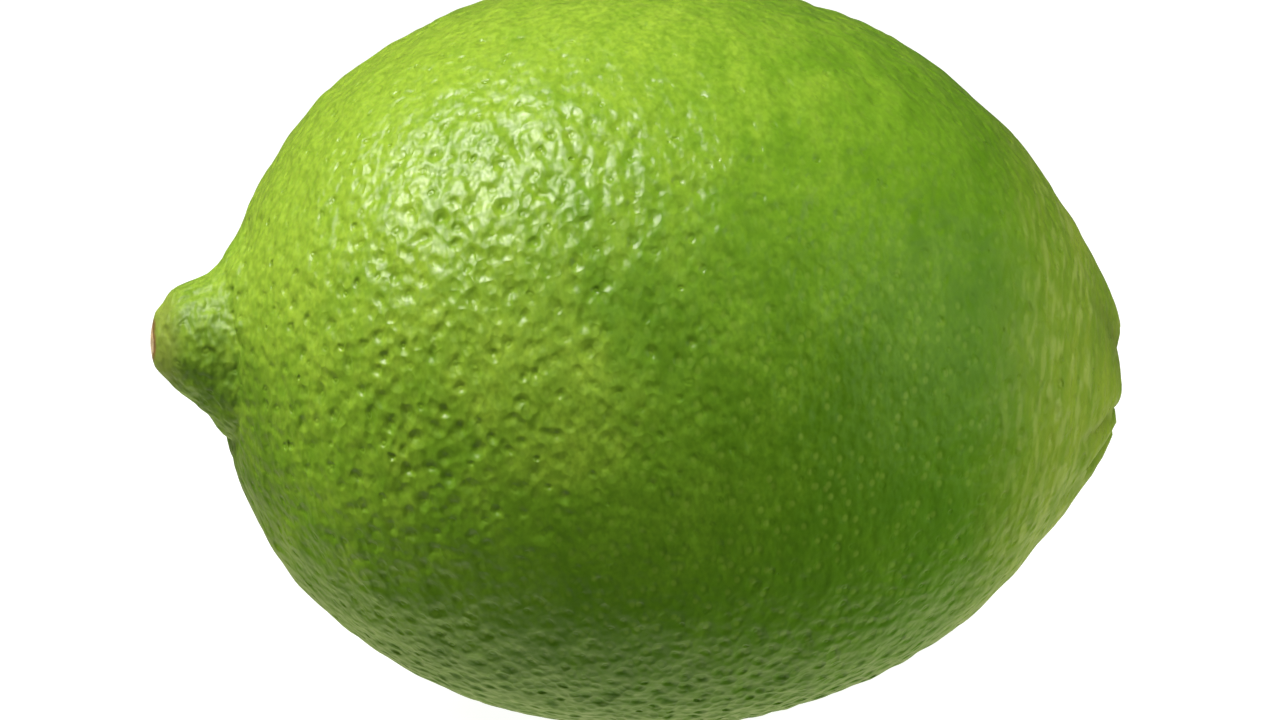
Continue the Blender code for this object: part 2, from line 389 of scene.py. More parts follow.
def stem_end(directions):
    """The boss with its ribs, less the dish in its middle."""
    angle = degrees_from(directions, STEM_AXIS)
    boss = BOSS_HEIGHT * np.exp(-((angle / BOSS_SPREAD) ** BOSS_BLUNTNESS))
    dish = DISH_DEPTH * np.clip(1.0 - (angle / DISH_SPREAD) ** 2, 0.0, None) ** DISH_ROUNDNESS
    return boss + ribs(directions) * np.clip(angle / DISH_SPREAD, 0.0, 1.0) ** 2 - dish


def peel_radius(directions):
    """How far the skin is from the fruit's centre in each direction, before its finer relief."""
    return body(directions) + nipple(directions) + stem_end(directions)


# The finer relief, given as how far it lowers the skin

def noise_at(points, waves, shift=0.0):
    """Smooth noise from -1 to 1 at each point, with its wavelengths along X, Y and Z."""
    places = points / np.array(waves) + shift
    return np.array([noise.noise(Vector(place)) for place in places])


def near_to(directions, middle, spread):
    """1 in the middle direction, and less the further a direction is from it."""
    return bell(degrees_from(directions, direction_of(*middle)), 0.0, spread)


def roughness_share(directions, points):
    """How strong the fine relief is, from 0 to 1."""
    patches = smoothstep(noise_at(points, (PATCH_WAVE,) * 3, PATCH_SHIFT), *PATCH_RANGE)
    smooth = near_to(directions, SMOOTH_CENTRE, SMOOTH_SPREAD)
    return 1.0 - SMOOTH_SHARE * np.clip(smooth + PATCH_SHARE * patches * (1.0 - smooth), 0.0, 1.0)


def bump_share(directions):
    """How deep the glands' bowls are, from 0 to 1."""
    underside = smoothstep(-directions[:, 2], -BUMPY_UNDERSIDE[0], -BUMPY_UNDERSIDE[1])
    share = np.maximum(near_to(directions, BUMPY_CENTRE, BUMPY_SPREAD), underside)
    stem = BUMPY_STEM_END * bell(degrees_from(directions, STEM_AXIS), 0.0, BUMPY_STEM_SPREAD)
    share = np.maximum(share, stem)
    return BUMPY_ELSEWHERE + (1.0 - BUMPY_ELSEWHERE) * share


def grooves(directions, points):
    """Narrow valleys that run round the fruit."""
    along, around = GROOVE_WAVES
    coarse = noise_at(points, (along, around, around))
    finer_along, finer_around = along / GROOVE_FINER[0], around / GROOVE_FINER[1]
    fine = noise_at(points, (finer_along, finer_around, finer_around), FINE_GROOVE_SHIFT)
    valleys = np.exp(-((coarse + GROOVE_WAVER * fine) / GROOVE_WIDTH) ** 2)
    near = near_to(directions, GROOVE_CENTRE, GROOVE_SPREAD)
    return GROOVE_DEPTH * (GROOVE_ELSEWHERE + (1.0 - GROOVE_ELSEWHERE) * near) * valleys


def rib_crease_shade(directions):
    """1 in the creases between the ribs, where painted shade darkens them, and 0 on their backs and away from
    them.
    """
    band = bell(degrees_from(directions, STEM_AXIS), RIB_SHADE_ANGLE, RIB_WIDTH)
    return (1.0 - rib_backs(directions)) * band


def stem_wrinkles(directions):
    """Wrinkles in uneven rings round the stem end."""
    angle = degrees_from(directions, STEM_AXIS)
    turns = rib_turns(directions)
    drift = WRINKLE_DRIFT * np.cos(turns), WRINKLE_DRIFT * np.sin(turns)
    places = np.stack((angle / WRINKLE_WAVE, *drift), axis=1)
    folds = 0.5 - noise_at(places, (1.0, 1.0, 1.0), WRINKLE_SHIFT)
    return WRINKLE_DEPTH * folds * bell(angle, WRINKLE_ANGLE, WRINKLE_WIDTH)


def nipple_creases(directions, points):
    """The crease round the nipple's foot and the lumps on the nipple, less its plumpness above the crease."""
    angle = degrees_from(directions, NIPPLE_AXIS)
    below = -np.sin(turn_about(directions, NIPPLE_AXIS))
    stray = CREASE_STRAY * noise_at(points, (CREASE_STRAY_WAVE,) * 3, CREASE_SHIFT)
    crease = CREASE_DEPTH * bell(angle, CREASE_ANGLE + CREASE_DROP * below + stray, CREASE_WIDTH)
    lumps = 0.5 - noise_at(points, (NIPPLE_LUMP_WAVE,) * 3, NIPPLE_LUMP_SHIFT)
    on_nipple = smoothstep(angle, *NIPPLE_LUMPS_START) * (1.0 - smoothstep(angle, *NIPPLE_LUMPS_END))
    plump = PLUMP_HEIGHT * bell(angle, PLUMP_ANGLE, PLUMP_WIDTH) * (0.5 - 0.5 * below)
    return crease + NIPPLE_LUMP_DEPTH * lumps * on_nipple - plump


def relief(directions, points, rough):
    """How far the grooves, lumps, wrinkles and creases and the broad unevenness lower the skin."""
    around = LUMP_STRETCH * LUMP_WAVE
    lumps = 0.5 - noise_at(points, (LUMP_WAVE, around, around), LUMP_SHIFT)
    uneven = 0.5 - UNEVEN_SWING * noise_at(points, (UNEVEN_WAVE,) * 3, UNEVEN_SHIFT)
    fine = rough * (grooves(directions, points) + LUMP_DEPTH * lumps)
    tip = smoothstep(degrees_from(directions, NIPPLE_AXIS), *RELIEF_FROM_TIP)
    dish = smoothstep(degrees_from(directions, STEM_AXIS), *RELIEF_FROM_STEM)
    broad = (fine + UNEVEN_DEPTH * uneven + stem_wrinkles(directions)) * tip * dish
    return broad + nipple_creases(directions, points)


# The peel's mesh

def around_axis(angles, turns):
    """Directions at these angles from +X, turned about X."""
    across = np.sin(angles)
    return np.stack((np.cos(angles), across * np.cos(turns), across * np.sin(turns)), axis=1)


def crowding(angles):
    """How many glands an area holds at these angles from +X, for each gland on the middle of the peel."""
    from_end = np.degrees(np.minimum(angles, math.pi - angles))
    return 1.0 + (END_DENSITY - 1.0) * bell(from_end, 0.0, END_ANGLE)


def spread_directions(count):
    """Directions whose points lie evenly on the peel, on a golden spiral about X, and closer at its ends."""
    angles = np.linspace(0.0, math.pi, TABLE_STEPS)
    outline = around_axis(angles, np.zeros(TABLE_STEPS))
    points = outline * peel_radius(outline)[:, None]
    steps = np.linalg.norm(np.diff(points, axis=0), axis=1)
    bands = (steps * (np.abs(points[:, 1]) * crowding(angles))[1:]).cumsum()
    shares = np.concatenate(((0.0,), bands / bands[-1]))
    found = np.interp((np.arange(count) + 0.5) / count, shares, angles)
    return around_axis(found, np.arange(count) * GOLDEN_ANGLE)


def normalised(vectors):
    return vectors / np.linalg.norm(vectors, axis=-1, keepdims=True)


def hull_of(directions):
    """The unit vectors that a closed mesh over their ends reaches, and the mesh's triangles."""
    mesh = bmesh.new()
    for direction in directions:
        mesh.verts.new(direction)
    bmesh.ops.convex_hull(mesh, input=list(mesh.verts))
    bmesh.ops.recalc_face_normals(mesh, faces=list(mesh.faces))
    loose = [vert for vert in mesh.verts if not vert.link_faces]
    bmesh.ops.delete(mesh, geom=loose, context="VERTS")
    mesh.verts.index_update()
    reached = normalised(np.array([vert.co for vert in mesh.verts]))
    triangles = np.array([[vert.index for vert in face.verts] for face in mesh.faces])
    mesh.free()
    return reached, triangles


def scattered_glands(random):
    """The glands' directions, a little off an even spiral, and the triangles between them."""
    even = spread_directions(GLAND_COUNT)
    spacing = math.sqrt(4.0 * math.pi / GLAND_COUNT)
    return hull_of(normalised(even + random.normal(0.0, GLAND_JITTER * spacing, even.shape)))


def half_edges(triangles, count):
    """
    The triangles' half-edges: each one's start, its triangle, the triangle across it, its twin there, and the
    half-edge that follows the twin.
    """
    start = triangles.ravel()
    end = np.roll(triangles, -1, axis=1).ravel()
    keys = start * count + end
    order = np.argsort(keys)
    twin = order[np.searchsorted(keys[order], end * count + start)]
    left = np.arange(len(start)) // 3
    after_twin = 3 * (twin // 3) + (twin % 3 + 1) % 3
    return start, left, left[twin], twin, after_twin


def part_way(first, second, share):
    return first + (second - first) * share[:, None]


def gland_mesh(glands, triangles, pit_radii):
    """
    A mesh in which each gland has a floor point, a ring of about six points at its floor's edge, a ring of
    about twelve at its rim, and a border shared with its neighbours. It returns the points' directions, each
    point's gland or -1, the triangles, each triangle's gland, the pits' radii, which are less where a cell is
    small, and how far each gland's nearest border is.
    """
    count, faces = len(glands), len(triangles)
    start, left, right, twin, after_twin = half_edges(triangles, count)
    centres = normalised(glands[triangles].mean(axis=1))
    flat_radii = pit_radii / peel_radius(glands)

    hub, tip = glands[start], centres[left]
    middle = (centres[left] + centres[right]) / 2.0
    to_middle = np.linalg.norm(middle - hub, axis=1)
    nearest = np.full(count, np.inf)
    np.minimum.at(nearest, start, to_middle)
    flat_radii = np.minimum(flat_radii, PIT_INSIDE_CELL * nearest)
    rim = flat_radii[start] / np.linalg.norm(tip - hub, axis=1)
    floor_ring = part_way(hub, tip, rim * PIT_FLOOR)
    rim_ring = part_way(hub, tip, rim)
    rim_between = part_way(hub, middle, flat_radii[start] / to_middle)
    border = part_way(centres[left], centres[right], np.full(len(start), 1.0 / 3.0))

    directions = normalised(np.concatenate((glands, centres, floor_ring, rim_ring, rim_between, border)))
    edges = np.arange(3 * faces)
    corner = count + np.arange(faces)
    first = count + faces
    floor_at, rim_at, between_at, border_at = (first + 3 * faces * step + edges for step in range(4))
    nobody, nobodys_border = np.full(faces, -1), np.full(3 * faces, -1)
    owner = np.concatenate((np.arange(count), nobody, start, start, start, nobodys_border))

    floor_right, rim_right = floor_at[after_twin], rim_at[after_twin]
    near_left, near_right = border_at, border_at[twin]
    # About a sixth of a cell: its floor, three triangles of the pit's wall, and five out to the border.
    cell = (
        (start, floor_right, floor_at),
        (floor_right, rim_right, between_at),
        (floor_right, between_at, floor_at),
        (floor_at, between_at, rim_at),
        (rim_right, corner[right], near_right),
        (rim_right, near_right, between_at),
        (between_at, near_right, near_left),
        (between_at, near_left, rim_at),
        (rim_at, near_left, corner[left]),
    )
    small = np.concatenate([np.stack(three, axis=1) for three in cell])
    surface = peel_radius(glands)
    return directions, owner, small, np.tile(start, len(cell)), flat_radii * surface, nearest * surface


def pit_share(directions):
    """How deep a pit is in each direction, from 0, where the peel has none, to 1."""
    tip = smoothstep(degrees_from(directions, NIPPLE_AXIS), *PITS_FROM_TIP)
    dish = smoothstep(degrees_from(directions, STEM_AXIS), *PITS_FROM_STEM)
    return tip * dish


def between(bounds, shares):
    """From the first bound, where a share is 0, to the second, where it is 1."""
    low, high = bounds
    return low + (high - low) * shares


def tangents(glands):
    """Two directions along the skin at each gland: around the fruit and along it."""
    around = normalised(np.cross(glands, (1.0, 0.0, 0.0)))
    return around, np.cross(around, glands)


def gland_offsets(glands, from_gland, face_gland):
    """How far each corner is from its triangle's gland along the fruit and round it, in mm."""
    around, along = tangents(glands)
    across = np.einsum("fcj,fj->fc", from_gland, around[face_gland]) / MM
    lengthways = np.einsum("fcj,fj->fc", from_gland, along[face_gland]) / MM
    return np.stack((lengthways, across), axis=2)


def at_corners(first, second, face_gland):
    """Each gland's two numbers, at the three corners of its triangles."""
    pairs = np.stack((first, second), axis=1)[face_gland]
    return np.repeat(pairs[:, None, :], 3, axis=1)


def add_corner_map(mesh, name, pairs):
    layer = mesh.uv_layers.new(name=name)
    layer.data.foreach_set("uv", np.ascontiguousarray(pairs, dtype=np.float32).ravel())


def fruit_centre(directions):
    """Where the fruit's centre is in the frame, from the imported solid's box and the formula's own."""
    points = directions * peel_radius(directions)[:, None]
    own = (points.min(axis=0) + points.max(axis=0)) / 2.0
    low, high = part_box("lime_fruit")
    middle = [(low[axis] + high[axis]) / 2.0 - own[axis] for axis in (0, 1)]
    return np.array((*middle, BODY_HALF_HEIGHT - REST_FLAT_DEPTH))


def add_to_scene(name, data):
    made = bpy.data.objects.new(name, data)
    bpy.context.scene.collection.objects.link(made)
    return made


def add_bmesh(name, mesh, material):
    data = bpy.data.meshes.new(name)
    mesh.to_mesh(data)
    mesh.free()
    data.materials.append(material)
    return add_to_scene(name, data)


def add_fruit(material, centre):
    random = np.random.default_rng(GLAND_SEED)
    glands, triangles = scattered_glands(random)
    count = len(glands)
    radii = between(PIT_RADIUS, random.random(count)) / np.sqrt(crowding(np.arccos(glands[:, 0])))
    directions, owner, faces, face_gland, radii, rooms = gland_mesh(glands, triangles, radii)
    pitted = pit_share(glands)
    pit_depths = between(PIT_DEPTH, random.random(count)) * (pitted * radii / PIT_RADIUS[1])
    bowl_draws = random.random(count)
    bowl_depths = between(BOWL_DEPTH, bowl_draws) * pitted
    surface = peel_radius(directions)
    base = directions * surface[:, None]
    hub = glands * peel_radius(glands)[:, None]

    own = owner >= 0
    of_gland = owner[own]
    from_hub = np.linalg.norm(base[own] - hub[of_gland], axis=1)
    risen = smoothstep(from_hub / radii[of_gland], PIT_FLOOR * PIT_FLAT, 1.0)
    pits = pit_depths[of_gland] * (1.0 - risen)
    bowls = bowl_depths[of_gland] * np.clip(1.0 - (from_hub / rooms[of_gland]) ** 2, 0.0, None) ** 2
    rough = roughness_share(directions, base)
    bumpy = bump_share(directions)
    sunk = relief(directions, base, rough)
    sunk[own] += rough[own] * (pits + bumpy[own] * bowls)
    points = directions * (surface - sunk)[:, None]
    points[:, 2] = np.maximum(points[:, 2], -centre[2])

    mesh = bpy.data.meshes.new("lime_peel")
    mesh.from_pydata((points + centre).tolist(), [], faces.tolist())
    mesh.materials.append(material)
    made = add_to_scene("lime_peel", mesh)
    from_gland = base[faces] - hub[face_gland][:, None, :]
    creases = rib_crease_shade(directions)
    skin = np.stack((rough * pit_share(directions), bumpy), axis=1)
    add_corner_map(mesh, "gland_offset", gland_offsets(glands, from_gland, face_gland))
    add_corner_map(mesh, "gland_kind", at_corners(radii / MM, random.random(count), face_gland))
    add_corner_map(mesh, "gland_bowl", at_corners(rooms / MM, bowl_draws, face_gland))
    add_corner_map(mesh, "skin", skin[faces])
    # The stem_end corner map carries the painted shade of the rib creases.
    add_corner_map(mesh, "stem_end", np.stack((creases, np.zeros_like(creases)), axis=1)[faces])
    mesh.shade_smooth()
    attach(made, "root")
    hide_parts("lime_fruit")


# The calyx

def calyx_thickness(distances):
    """The calyx's thickness at each distance from its middle: a thin star with a ring round the stalk."""
    star = np.clip(1.0 - (distances / CALYX_RADIUS) ** 2, 0.0, None)
    ring = bell(distances, STALK_RING_RADIUS, STALK_RING_WIDTH)
    thin = CALYX_EDGE_THICKNESS + (CALYX_THICKNESS - CALYX_EDGE_THICKNESS) * star
    return thin + STALK_RING_HEIGHT * ring


def add_calyx(material, centre):
    mesh = bmesh.new()
    bmesh.ops.create_uvsphere(mesh, u_segments=CALYX_SEGMENTS, v_segments=CALYX_RINGS, radius=1.0)
    ball = np.array([vert.co for vert in mesh.verts])
    turns = np.arctan2(ball[:, 1], ball[:, 0])
    lobes = 1.0 - CALYX_LOBE_DEPTH * (1.0 - np.abs(np.cos(CALYX_LOBES / 2.0 * turns)))
    distances = np.hypot(ball[:, 0], ball[:, 1]) * (CALYX_RADIUS * lobes)

    seat = np.full(len(ball), BODY_HALF_LENGTH + BOSS_HEIGHT - DISH_DEPTH)
    flat = np.stack((np.cos(turns) * distances, np.sin(turns) * distances, seat), axis=1)
    to_stem = Vector((0.0, 0.0, 1.0)).rotation_difference(Vector(STEM_AXIS)).to_matrix()
    directions = normalised(flat @ np.array(to_stem).T)
    underside = peel_radius(directions) + CALYX_GAP
    heights = underside + calyx_thickness(distances) * (ball[:, 2] + 1.0) / 2.0
    for vert, direction, height in zip(mesh.verts, directions, heights):
        vert.co = direction * height + centre
    made = add_bmesh("calyx", mesh, material)
    made.data.shade_smooth()
    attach(made, "root")
    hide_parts("calyx_button")


# Materials

class Nodes:
    """A node tree, with short calls for the nodes that it uses."""

    def __init__(self, tree):
        self.tree = tree

    def link(self, value, socket):
        if isinstance(value, bpy.types.NodeSocket):
            self.tree.links.new(value, socket)
        elif isinstance(value, (tuple, list)) and len(value) == 3 and socket.type == "RGBA":
            socket.default_value = (*value, 1.0)
        else:
            socket.default_value = value

    def node(self, kind, **settings):
        made = self.tree.nodes.new(kind)
        for name, value in settings.items():
            setattr(made, name, value)
        return made

    def math(self, operation, first, second=0.0, clamp=False):
        made = self.node("ShaderNodeMath", operation=operation, use_clamp=clamp)
        for value, socket in zip((first, second), made.inputs):
            self.link(value, socket)
        return made.outputs[0]

    def add(self, first, second):
        return self.math("ADD", first, second)

    def times(self, first, second):
        return self.math("MULTIPLY", first, second)

    def vector(self, operation, first, second=None):
        made = self.node("ShaderNodeVectorMath", operation=operation)
        self.link(first, made.inputs[0])
        if second is not None:
            self.link(second, made.inputs[1])
        return made.outputs["Value" if operation in ("LENGTH", "DOT_PRODUCT") else "Vector"]

    def scaled(self, vector, scale):
        made = self.node("ShaderNodeVectorMath", operation="SCALE")
        self.link(vector, made.inputs[0])
        self.link(scale, made.inputs["Scale"])
        return made.outputs["Vector"]

    def map_range(self, kind, value, low, high, to_low, to_high):
        made = self.node("ShaderNodeMapRange", interpolation_type=kind)
        for name, number in (("Value", value), ("From Min", low), ("From Max", high),
                             ("To Min", to_low), ("To Max", to_high)):
            self.link(number, made.inputs[name])
        return made.outputs[0]

    def eased(self, value, low, high, to_low=0.0, to_high=1.0):
        """From to_low where the value is low to to_high where it is high, with a soft start and end."""
        return self.map_range("SMOOTHSTEP", value, low, high, to_low, to_high)

    def ranged(self, value, low, high, to_low=0.0, to_high=1.0):
        """From to_low where the value is low to to_high where it is high, evenly."""
        return self.map_range("LINEAR", value, low, high, to_low, to_high)

    def closeness(self, direction, axis):
        """The cosine of the angle between a direction and an axis."""
        return self.vector("DOT_PRODUCT", direction, tuple(axis))

    def eased_by_angle(self, closeness, start, end, to_low=0.0, to_high=1.0):
        """From to_low at the angle start to to_high at the angle end, given the angle's cosine."""
        return self.eased(closeness, math.cos(math.radians(start)), math.cos(math.radians(end)),
                          to_low, to_high)

    def stretched(self, place, scale):
        """The place, turned about Y and scaled, for textures that are longer round the fruit."""
        made = self.node("ShaderNodeMapping", vector_type="POINT")
        self.link(place, made.inputs["Vector"])
        made.inputs["Rotation"].default_value = (0.0, math.radians(TEXTURE_LEAN), 0.0)
        made.inputs["Scale"].default_value = scale
        return made.outputs["Vector"]

    def noise(self, place, scale, detail, roughness=0.5, output="Fac"):
        made = self.node("ShaderNodeTexNoise")
        self.link(place, made.inputs["Vector"])
        for name, value in (("Scale", scale), ("Detail", detail), ("Roughness", roughness)):
            made.inputs[name].default_value = value
        return made.outputs[output]

    def voronoi(self, place, scale, randomness):
        made = self.node("ShaderNodeTexVoronoi", feature="F1")
        self.link(place, made.inputs["Vector"])
        made.inputs["Scale"].default_value = scale
        made.inputs["Randomness"].default_value = randomness
        return made.outputs["Distance"]

    def mix(self, share, first, second):
        made = self.node("ShaderNodeMix", data_type="RGBA", blend_type="MIX")
        self.link(share, made.inputs[0])
        self.link(first, made.inputs[6])
        self.link(second, made.inputs[7])
        return made.outputs[2]

    def ramp(self, value, stops):
        made = self.node("ShaderNodeValToRGB")
        elements = made.color_ramp.elements
        while len(elements) < len(stops):
            elements.new(0.5)
        for element, (position, colour) in zip(elements, stops):
            element.position = position
            element.color = (*colour, 1.0)
        self.link(value, made.inputs[0])
        return made.outputs["Color"]


class Surface(Nodes):
    """A material's nodes."""

    def __init__(self, name):
        self.material = bpy.data.materials.new(name)
        self.material.use_nodes = True
        super().__init__(self.material.node_tree)
        self.principled = self.tree.nodes["Principled BSDF"]

    def uniform(self, **values):
        """Sets the shader's sockets to values that are the same all over the surface."""
        for name, value in values.items():
            self.principled.inputs[name.replace("_", " ")].default_value = value

    def textured(self, **values):
        """Links the shader's sockets to values that vary over the surface."""
        for name, value in values.items():
            self.link(value, self.principled.inputs[name.replace("_", " ")])

    def corner_vector(self, name):
        """The pair of numbers that the mesh's corners hold under this name, as a vector."""
        return self.node("ShaderNodeUVMap", uv_map=name).outputs["UV"]

    def corner_numbers(self, name):
        """The same pair, as two numbers."""
        split = self.node("ShaderNodeSeparateXYZ")
        self.link(self.corner_vector(name), split.inputs[0])
        return split.outputs["X"], split.outputs["Y"]

    def place(self):
        return self.node("ShaderNodeTexCoord").outputs["Object"]

    def bump(self, height, strength=1.0):
        """A bump whose height is in mm."""
        made = self.node("ShaderNodeBump")
        made.inputs["Distance"].default_value = MM
        made.inputs["Strength"].default_value = strength
        self.link(height, made.inputs["Height"])
        self.textured(Normal=made.outputs["Normal"])


def gland_profile(shader, place, share, bumpy, under):
    """The height of the oil gland's pit and its bowl in mm, and how much painted shade darkens them, from 0
    to 1.
    """
    offset = shader.corner_vector("gland_offset")
    radius, chance = shader.corner_numbers("gland_kind")
    room, bowl_chance = shader.corner_numbers("gland_bowl")
    wobble = shader.noise(place, WOBBLES, 0.0, output="Color")
    wobble = shader.scaled(shader.vector("SUBTRACT", wobble, (0.5, 0.5, 0.5)), PIT_WOBBLE)
    distance = shader.vector("LENGTH", shader.vector("ADD", offset, wobble))

    # The pit has a low dome in its middle.
    reach = shader.math("DIVIDE", distance, radius)
    wall = shader.times(shader.eased(reach, 1.0, 0.40), share)
    dome = shader.times(shader.eased(reach, 0.50, 0.0), share)
    pit = shader.math("SUBTRACT", wall, shader.times(dome, PIT_DOME))
    pit = shader.times(pit, shader.ranged(chance, 0.0, 1.0, *PIT_BUMP))

    across = shader.math("DIVIDE", distance, room)
    hollow = shader.math("SUBTRACT", 1.0, shader.times(across, across), clamp=True)
    bowl = shader.add(shader.times(shader.eased(across, 1.0, 0.05), 0.55), shader.times(hollow, 0.45))
    bowl = shader.times(bowl, shader.times(share, bumpy))
    sunk = shader.times(bowl, shader.ranged(bowl_chance, 0.0, 1.0, *BOWL_BUMP))
    height = shader.times(shader.add(pit, sunk), -1.0)

    # Painted shade: the pit's wall and its bowl are darkened, the bowl most on the underside.
    dark = shader.times(wall, shader.ranged(chance, 0.3, 1.0, 0.0, 0.08))
    bowl_shade = shader.ranged(under, 0.0, 1.0, 0.14, 0.66)
    return height, shader.add(dark, shader.times(bowl, shader.times(bowl_shade, bowl_chance)))


def around_stem(shader, place, to_stem):
    """A place for textures that run in rings round the stem end, however far from it they are."""
    outwards = shader.node("ShaderNodeCombineXYZ")
    shader.link(shader.times(shader.math("ARCCOSINE", to_stem), BODY_HALF_LENGTH), outwards.inputs[0])
    return shader.vector("ADD", outwards.outputs[0], shader.vector("MULTIPLY", place, RING_SCALES))


def ripe_and_lit_green(shader, place, grown, middle, turned):
    """Yellower and lighter towards the upper front of the blossom end, greener and darker below, in clouds
    and mottles: partly the peel's own ripeness and partly painted light on the lit upper left.
    """
    # Painted light: lighter and yellower towards the lit upper left, on top of the peel's own ripening.
    lean = shader.vector("DOT_PRODUCT", middle, RIPER_AND_LIT_TOWARDS)
    clouds = shader.noise(place, CLOUDS, 3.0, 0.55)
    mottle = shader.noise(grown, MOTTLES, 3.0, 0.62)
    ripeness_and_light = shader.add(lean, shader.ranged(clouds, 0.25, 0.75, -0.31, 0.19))
    ripeness_and_light = shader.add(ripeness_and_light, shader.ranged(mottle, 0.25, 0.75, -0.34, 0.34))
    patch = shader.closeness(turned, direction_of(*PALE_PATCH))
    ripeness_and_light = shader.add(ripeness_and_light, shader.eased_by_angle(patch, 18.0, 0.0, 0.0, 0.50))
    return shader.ramp(shader.ranged(ripeness_and_light, -1.0, 1.0), GREENS)


def speckled(shader, green, longer, share, dark, dots):
    """The green with painted shade in its pits, and with speckles and pale dots that are fainter where it is
    rough.
    """
    # Painted shade in the pits.
    green = shader.mix(dark, green, PIT_SHADE_GREEN)
    speckle = shader.noise(longer, SPECKLES, 1.0, 0.6)
    least = shader.eased(share, 0.2, 0.8, 0.0, 0.12)
    most = shader.math("SUBTRACT", 0.52, least)
    green = shader.mix(shader.ranged(speckle, 0.36, 0.64, least, most), green, SPECKLE_GREEN)
    dot_share = shader.eased(share, 0.2, 0.8, 0.27, 0.12)
    return shader.mix(shader.times(dots, dot_share), green, DOT_GREEN)


def with_stem_end(shader, green, to_stem, round_stem, rings):
    """The green, streaked and ringed with yellow and olive towards the stem end, with painted shade in the
    rib creases.
    """
    near_stem = shader.eased_by_angle(to_stem, 46.0, 17.0)
    streaks = shader.noise(round_stem, STREAKS, 3.0, 0.65)
    streaked = shader.times(near_stem, shader.eased(streaks, 0.36, 0.66, 0.34, 0.60))
    green = shader.mix(streaked, green, STREAK_YELLOW)
    off_stem = shader.eased_by_angle(to_stem, 13.0, 21.0)
    ringed = shader.times(shader.times(near_stem, off_stem), shader.eased(rings, 0.48, 0.66, 0.0, 0.50))
    green = shader.mix(ringed, green, RING_GREEN)
    # Painted shade in the creases between the ribs.
    crease, _ = shader.corner_numbers("stem_end")
    return shader.mix(shader.times(crease, 0.75), green, RIB_CREASE_SHADE)


def with_nipple(shader, green, place, turned, to_nipple):
    """The green, duller at the nipple's foot and paler at its tip, with the flower's cream scar, whose cream
    is lightened partly as a painted highlight.
    """
    blotch = shader.noise(place, BLOTCHES, 3.0, 0.6)
    near_foot = shader.eased_by_angle(shader.closeness(turned, direction_of(*DULL_CENTRE)), 22.0, 9.0)
    dull = shader.times(near_foot, shader.eased(blotch, 0.35, 0.65, 0.20, 0.85))
    green = shader.mix(dull, green, DULL_GREEN)
    paler = shader.eased_by_angle(to_nipple, 7.0, 3.5, 0.0, 0.45)
    green = shader.mix(paler, green, TIP_GREEN)

    # The scar's edge is ragged and brown.
    ragged = shader.add(to_nipple, shader.ranged(blotch, 0.2, 0.8, -0.0004, 0.0004))
    green = shader.mix(shader.eased_by_angle(ragged, 2.7, 1.9), green, SCAR_BROWN)
    # The scar's cream is partly its own colour and partly a painted highlight.
    cream_and_highlight = shader.ramp(blotch, SCAR_CREAMS_AND_HIGHLIGHT)
    return shader.mix(shader.eased_by_angle(ragged, 1.9, 1.4), green, cream_and_highlight)


def peel_material(centre):
    """Waxy, in greens that ripen towards the upper front, and pitted by its oil glands."""
    shader = Surface("peel")
    place = shader.place()
    middle = shader.vector("SUBTRACT", place, tuple(centre))
    turned = shader.vector("NORMALIZE", middle)
    to_stem = shader.closeness(turned, STEM_AXIS)
    to_nipple = shader.closeness(turned, NIPPLE_AXIS)
    under = shader.eased(shader.closeness(turned, (0.0, 0.0, -1.0)), *UNDERSIDE)
    on_nipple = shader.eased_by_angle(to_nipple, 17.0, 9.0)
    share, bumpy = shader.corner_numbers("skin")
    grown = shader.stretched(place, GROWN_SCALE)
    longer = shader.stretched(place, LONGER_SCALE)
    round_stem = around_stem(shader, place, to_stem)

    # Small pits, fine lumps and grain lie between the glands, more of them on the nipple, and fine rings run
    # round the stem end.
    gland, dark = gland_profile(shader, place, share, bumpy, under)
    cells = shader.voronoi(longer, SMALL_PITS, 0.9)
    small_pits = shader.eased(cells, 0.60, 0.16)
    lumps = shader.noise(longer, LUMPS, 0.6, 0.45)
    grain = shader.noise(grown, GRAINS, 0.0)
    rings = shader.noise(round_stem, RINGS, 1.0)
    rough = shader.ranged(share, 0.0, 1.0, LEAST_ROUGH, 1.0)
    small_depth = shader.times(rough, shader.ranged(bumpy, 0.0, 1.0, *SMALL_PIT_BUMP))
    lumpy = shader.add(shader.times(rough, LUMP_BUMP), shader.times(on_nipple, NIPPLE_LUMP_BUMP))
    grainy = shader.add(shader.times(rough, GRAIN_BUMP), shader.times(on_nipple, NIPPLE_GRAIN_BUMP))
    fine = shader.add(shader.times(lumps, lumpy), shader.times(grain, grainy))
    fine = shader.math("SUBTRACT", fine, shader.times(small_pits, small_depth))
    ring_height = shader.times(rings, shader.eased_by_angle(to_stem, 44.0, 24.0, 0.0, RING_BUMP))
    shader.bump(shader.add(shader.add(gland, fine), ring_height))

    # Pale dots show in the small pits, and on the underside the pits are duller and darkened with painted
    # shade.
    dots = shader.eased(cells, 0.36, 0.12)
    dark = shader.add(dark, shader.times(small_pits, shader.times(under, 0.42)))
    green = ripe_and_lit_green(shader, place, grown, middle, turned)
    green = speckled(shader, green, longer, share, dark, dots)
    green = with_stem_end(shader, green, to_stem, round_stem, rings)
    green = with_nipple(shader, green, place, turned, to_nipple)
    gloss = shader.ranged(lumps, 0.3, 0.7, *PEEL_ROUGHNESS)
    gloss = shader.add(gloss, shader.times(on_nipple, NIPPLE_DULLER))
    gloss = shader.add(gloss, shader.times(shader.times(dark, under), LOWER_PITS_DULLER))
    shader.textured(Base_Color=green, Roughness=gloss)
    shader.uniform(Metallic=0.0, IOR=1.45, Subsurface_Weight=0.12, Subsurface_Scale=0.0012)
    shader.uniform(Subsurface_Radius=(0.7, 1.0, 0.25))
    return shader.material


